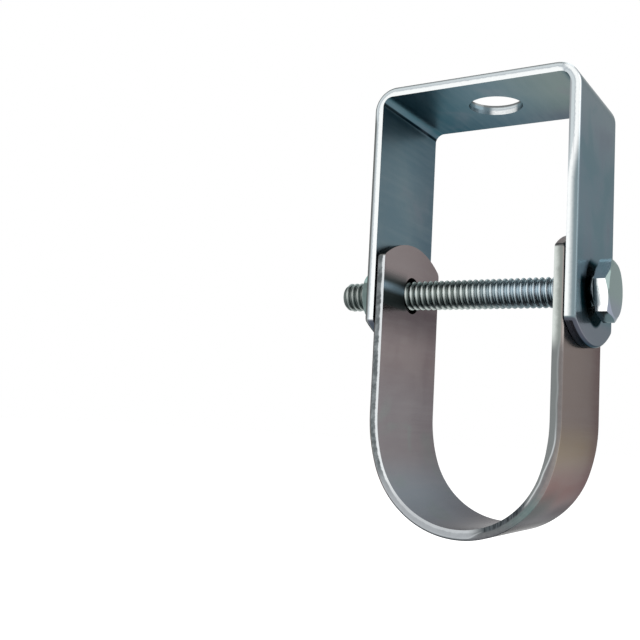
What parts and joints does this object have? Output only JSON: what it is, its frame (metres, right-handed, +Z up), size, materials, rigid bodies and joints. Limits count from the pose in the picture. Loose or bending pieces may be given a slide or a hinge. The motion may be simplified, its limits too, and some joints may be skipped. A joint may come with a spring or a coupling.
{
  "type": "clevis pipe hanger",
  "caption": "Clevis pipe hanger: a square strip yoke hung from a threaded rod, with a round-bottomed strap that swings on a cross bolt and carries a pipe.",
  "frame": {"origin": "centre of the rod hole on the underside of the yoke's top, where the nut of the rod bears", "axes": "+Z up along the hanger rod, +X along the cross bolt from its nut to its head, +Y along the pipe towards the back"},
  "size_m": [0.0585, 0.0264, 0.0902],
  "materials": {
    "yoke_steel": "zinc plated, soft sheen",
    "strap_steel": "zinc plated, soft sheen",
    "bolt_steel": "zinc plated, bright",
    "nut_steel": "zinc plated, bright"
  },
  "bodies": {
    "yoke": {"upper_yoke": "yoke_steel"},
    "strap": {"lower_strap": "strap_steel"},
    "bolt": {"cross_bolt": "bolt_steel"},
    "nut": {"cross_bolt_nut": "nut_steel"}
  },
  "joints": [
    {"name": "strap_swing", "type": "hinge", "parent": "yoke", "child": "strap", "pos_m": [0, 0, -0.0398], "axis": [1, 0, 0], "range_deg": [-140, 140]},
    {"name": "bolt_turn", "type": "hinge", "parent": "yoke", "child": "bolt", "pos_m": [0, 0, -0.0398], "axis": [1, 0, 0], "range_deg": [0, 1530]},
    {"name": "nut_travel", "type": "slide", "parent": "yoke", "child": "nut", "axis": [-1, 0, 0], "range_m": [0, 0.0054]}
  ],
  "couplings": [
    {"joint": "nut_travel", "follows": "bolt_turn", "m_per_rad": 0.00020213}
  ]
}
